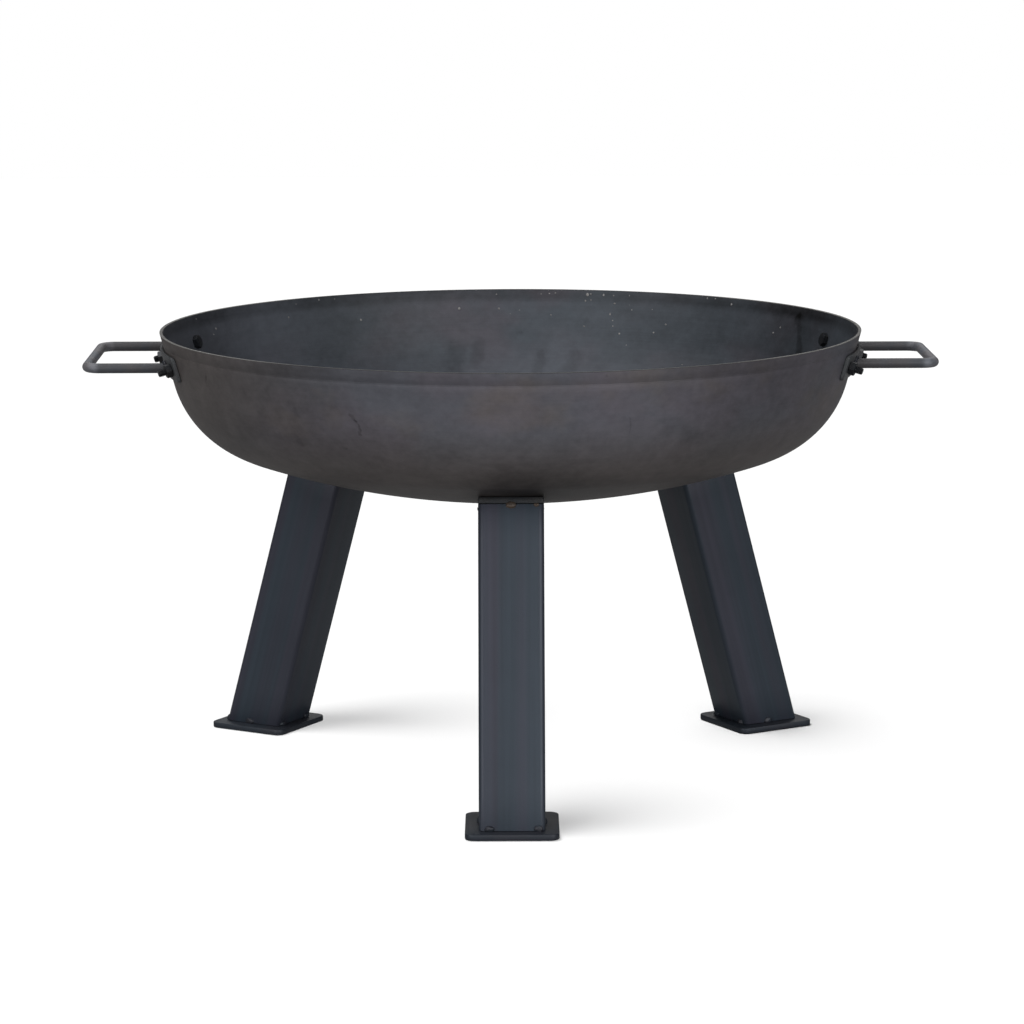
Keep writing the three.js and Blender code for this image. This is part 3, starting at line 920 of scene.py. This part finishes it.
def hex_bolt(size, seat, length):
    """A bolt with the inner face of its head at z = seat, and its threaded shank along +Z."""
    bm = bmesh.new()
    top = seat - size["head"]
    chamfer = size["flats"] / 2 * HEX_CHAMFER
    rows = loft(bm, [
        circle(chamfer * 0.99, top, HEX_STEPS),
        hex_ring(size["flats"], top, chamfer, -1),
        hex_ring(size["flats"], seat),
    ])
    pole(bm, rows[0], (0, 0, top), flip=True)
    bm.faces.new(rows[-1])
    shank = loft(bm, thread_rings(size, seat, seat + length))
    bm.faces.new(shank[0][::-1])
    pole(bm, shank[-1], (0, 0, seat + length))
    return bm


def hex_nut(size, low):
    """A nut with both faces chamfered and a bore that clears its bolt."""
    high = low + size["nut"]
    chamfer = size["flats"] / 2 * HEX_CHAMFER
    bore = size["shank"] / 2 + 0.08
    lead = bore + 0.5
    bm = bmesh.new()
    loft(bm, [
        circle(chamfer * 0.99, low, HEX_STEPS),
        hex_ring(size["flats"], low, chamfer, -1),
        hex_ring(size["flats"], high, chamfer, 1),
        circle(chamfer * 0.99, high, HEX_STEPS),
        circle(lead, high, HEX_STEPS),
        circle(bore, high - 0.5, HEX_STEPS),
        circle(bore, low + 0.5, HEX_STEPS),
        circle(lead, low, HEX_STEPS),
    ], closed=True)
    return bm


def washer(diameter, hole, low, high):
    edge = 0.3
    outer, inner = diameter / 2, hole / 2
    return turned_ring([
        (outer - edge, low), (outer, low + edge), (outer, high - edge), (outer - edge, high),
        (inner + edge, high), (inner, high - edge), (inner, low + edge), (inner + edge, low),
    ], 64)


def make_handle_bolts(side):
    seat = -(BOWL_THICKNESS + GAP + FLATS_INSET)
    for index, spot in enumerate(BOLT_ANGLES):
        place = wall_place(bolt_azimuth(side, spot)) @ turn(11 + 37 * index)
        add_piece(f"bolt_{side}_{spot}", hex_bolt(M6, seat, HANDLE_BOLT_LENGTHS[spot] - seat),
                  fastener_steel, [f"handle_bolt_{side}_{spot}"],
                  place=place, seed=10 + index)
        place = wall_place(bolt_azimuth(side, spot)) @ turn(17 * index)
        add_piece(f"nut_{side}_{spot}", hex_nut(M6, BRACKET_THICKNESS + 2 * GAP),
                  fastener_steel, [f"handle_nut_{side}_{spot}"],
                  place=place, seed=20 + index)


# ---------------------------------------------------------------- legs

def make_leg(spot, azimuth, seed):
    place = leg_place(azimuth)
    outline = rounded_rectangle(TUBE_WIDTH, TUBE_WIDTH, TUBE_CORNER, 8)
    inside_width = TUBE_WIDTH - 2 * TUBE_WALL
    inside = rounded_rectangle(inside_width, inside_width, TUBE_CORNER - TUBE_WALL, 8)
    top = PLATE_BOTTOM - GAP
    floor = PLATE_THICKNESS + GAP

    def cut(points, lift=0.0, inset=0.0):
        """An outline brought down to the level cut at the tube's foot."""
        return [
            Vector((p.x, p.y, (floor + lift - p.x * math.sin(LEG_SPLAY)) / math.cos(LEG_SPLAY)))
            for p in level(points, 0, inset)
        ]

    edge = CUT_EDGE
    steps = 8
    outer_rings = []
    low_ring, high_ring = cut(outline, edge), level(outline, top - edge)
    for k in range(steps + 1):
        outer_rings.append([a.lerp(b, k / steps) for a, b in zip(low_ring, high_ring)])
    bm = bmesh.new()
    loft(bm, [
        cut(outline, 0, edge), cut(outline, edge * 0.3, edge * 0.3), *outer_rings,
        level(outline, top - edge * 0.3, edge * 0.3), level(outline, top, edge),
        level(inside, top), cut(inside),
    ], closed=True)
    add_piece(f"tube_{spot}", bm, leg_steel, [f"leg_tube_{spot}"], place=place, seed=seed)

    square = rounded_rectangle(TUBE_WIDTH, TUBE_WIDTH, TOP_CORNER, 4)
    dense = []
    for a, b in zip(square, square[1:] + square[:1]):
        parts = max(1, int((b - a).length / 3))
        dense += [a.lerp(b, k / parts) for k in range(parts)]
    add_piece(f"top_plate_{spot}",
              plate(dense, PLATE_BOTTOM, PLATE_TOP, CUT_EDGE, M10["shank"] + 2 * GAP),
              top_plate_steel, [f"leg_top_plate_{spot}"], place=place, seed=seed + 1)

    foot = Matrix.Translation((FOOT_RADIUS * math.cos(math.radians(azimuth)),
                               FOOT_RADIUS * math.sin(math.radians(azimuth)), 0)) @ turn(azimuth)
    add_piece(f"foot_plate_{spot}",
              plate(rounded_rectangle(FOOT_WIDTH, FOOT_WIDTH, FOOT_CORNER, 10), 0, PLATE_THICKNESS,
                    FOOT_EDGE),
              plate_steel, [f"leg_foot_plate_{spot}"], place=foot, seed=seed + 2)

    welds = bmesh.new()
    half = TUBE_WIDTH / 2
    for index, (x, y) in enumerate(FOOT_TACKS):
        z = (floor + 1.5 - x * half * math.sin(LEG_SPLAY)) / math.cos(LEG_SPLAY)
        spin = Matrix.Translation((x * half, y * half, z)) @ turn(math.degrees(LEG_SPLAY), "Y")
        size = (2.0, 3.5, 2.8) if abs(x) == 1 else (4.2, 1.6, 2.8)
        add_tack(welds, spin, size, seed + index)
    add_piece(f"foot_tacks_{spot}", welds, weld_steel, place=place, sharp=70, seed=seed + 3)

    tacks = bmesh.new()
    for index, (x, y, *size) in enumerate(TOP_TACKS):
        spin = Matrix.Translation((x * (half - 0.4), y * (half - 0.4), PLATE_BOTTOM - 1.2))
        add_tack(tacks, spin, size, seed + 5 + index)
    add_piece(f"top_tacks_{spot}", tacks, scorched_weld, place=place, sharp=70, seed=seed + 4)

    offset = FLOOR_CENTRE.y * math.sin(LEG_SPLAY) - LEG_FLOOR_RADIUS * math.cos(LEG_SPLAY)
    floor_rise = FLOOR_RADIUS - math.sqrt(FLOOR_RADIUS ** 2 - offset ** 2)
    slope = WASHER_DIAMETER / 2 * offset / FLOOR_RADIUS
    washer_low = PLATE_TOP + GAP + floor_rise + BOWL_THICKNESS + GAP + FLATS_INSET + slope
    add_piece(f"washer_{spot}",
              washer(WASHER_DIAMETER, M10["shank"] + 2 * GAP, washer_low, washer_low + WASHER_THICKNESS),
              fastener_steel, [f"leg_washer_{spot}"], place=place, seed=seed + 6)
    seat = washer_low + WASHER_THICKNESS + GAP
    down = Matrix.Rotation(math.pi, 4, "X")
    add_piece(f"leg_bolt_{spot}_shown", hex_bolt(M10, -seat, LEG_BOLT_LENGTH), fastener_steel,
              [f"leg_bolt_{spot}"], place=place @ down @ turn(13 * seed), seed=seed + 7)
    add_piece(f"leg_nut_{spot}_shown", hex_nut(M10, PLATE_BOTTOM - GAP - M10["nut"]), fastener_steel,
              [f"leg_nut_{spot}"], place=place, seed=seed + 8)


make_bowl()
make_spatter()
for handle_side in HANDLE_ANGLES:
    make_bracket(handle_side)
    make_handle_loop(handle_side)
    make_handle_bolts(handle_side)
for leg_index, (leg_spot, leg_azimuth) in enumerate(LEG_ANGLES.items()):
    make_leg(leg_spot, leg_azimuth, 3.0 + 11 * leg_index)


# ---------------------------------------------------------------- floor, light and camera

def by_camera_ray(tree, kind, names, looks, output):
    """Mixes two shaders in a node tree: light meets the first one, and the camera sees the second."""
    tree.nodes.clear()
    path = tree.nodes.new("ShaderNodeLightPath")
    mix = tree.nodes.new("ShaderNodeMixShader")
    out = tree.nodes.new(output)
    tree.links.new(path.outputs["Is Camera Ray"], mix.inputs[0])
    tree.links.new(mix.outputs[0], out.inputs[0])
    for socket, values in enumerate(looks, 1):
        shader = tree.nodes.new(kind)
        for name, value in zip(names, values):
            shader.inputs[name].default_value = value
        tree.links.new(shader.outputs[0], mix.inputs[socket])


def make_floor():
    """A floor just under the feet, so that the two surfaces don't fight."""
    bm = bmesh.new()
    marks = [FLOOR_SIZE * (2 * i / FLOOR_CELLS - 1) for i in range(FLOOR_CELLS + 1)]
    rows = [[bm.verts.new((x, y, -GAP * MM)) for x in marks] for y in marks]
    for low, high in zip(rows, rows[1:]):
        for j in range(FLOOR_CELLS):
            bm.faces.new((low[j], low[j + 1], high[j + 1], high[j]))
    mesh = bpy.data.meshes.new("studio_floor")
    bm.to_mesh(mesh)
    bm.free()
    floor = bpy.data.objects.new("studio_floor", mesh)
    collection.objects.link(floor)
    material = bpy.data.materials.new("studio_floor")
    material.use_nodes = True
    looks = [((grey, grey, grey, 1),) for grey in (FLOOR_BOUNCE, FLOOR_SEEN)]
    by_camera_ray(material.node_tree, "ShaderNodeBsdfDiffuse", ["Color"], looks, "ShaderNodeOutputMaterial")
    mesh.materials.append(material)
    return floor


def light_group(name, members, state="INCLUDE"):
    """The objects that a light reaches or that block it; with EXCLUDE, all objects but these."""
    group = bpy.data.collections.new(name)
    for index, member in enumerate(members):
        group.objects.link(member)
        group.collection_objects[index].light_linking.link_state = state
    return group


def add_softbox(name, azimuth, elevation, spread, strength, reach, blockers=None, glossy=True):
    """A far softbox: azimuth is to the right of the camera's side, and spread is how wide it looks."""
    data = bpy.data.lights.new(name, "SUN")
    data.energy = strength
    data.angle = math.radians(spread)
    light = bpy.data.objects.new(name, data)
    light.matrix_world = turn(azimuth) @ turn(90 - elevation, "X")
    light.visible_glossy = glossy
    light.light_linking.receiver_collection = reach
    if blockers:
        light.light_linking.blocker_collection = blockers
    collection.objects.link(light)


def make_world():
    world = bpy.data.worlds.new("studio")
    bpy.context.scene.world = world
    world.use_nodes = True
    looks = [((1, 1, 1, 1), strength) for strength in (SKY_LIGHT, SKY_SEEN)]
    names = ["Color", "Strength"]
    by_camera_ray(world.node_tree, "ShaderNodeBackground", names, looks, "ShaderNodeOutputWorld")


def make_camera():
    data = bpy.data.cameras.new("camera")
    data.sensor_width = CAMERA_SENSOR
    data.lens = CAMERA_LENS
    data.clip_end = 100.0
    camera = bpy.data.objects.new("camera", data)
    aim = turn(CAMERA_YAW) @ turn(90 - CAMERA_PITCH, "X") @ turn(CAMERA_ROLL)
    camera.matrix_world = Matrix.Translation(CAMERA_PLACE) @ aim
    collection.objects.link(camera)
    bpy.context.scene.camera = camera


studio_floor = make_floor()
make_world()
on_bowl = light_group("lit_product", [studio_floor], "EXCLUDE")
for name, azimuth, elevation, spread, strength, glossy in PRODUCT_LAMPS:
    add_softbox(name, azimuth, elevation, spread, strength, on_bowl, glossy=glossy)
on_floor = light_group("lit_floor", [studio_floor])
add_softbox("floor_wash", 0, 90, 45, 0.05, on_floor, on_floor)
for name, azimuth, elevation, strength, spots in FLOOR_LAMPS:
    blocking = [
        bpy.data.objects[f"{part}_{spot}"]
        for spot in spots for part in ("tube", "top_plate", "foot_plate")
    ]
    group = light_group(f"{name}_blockers", blocking)
    add_softbox(name, azimuth, elevation, FLOOR_SPREAD, strength, on_floor, group)
make_camera()
bpy.context.scene.view_settings.view_transform = "Standard"
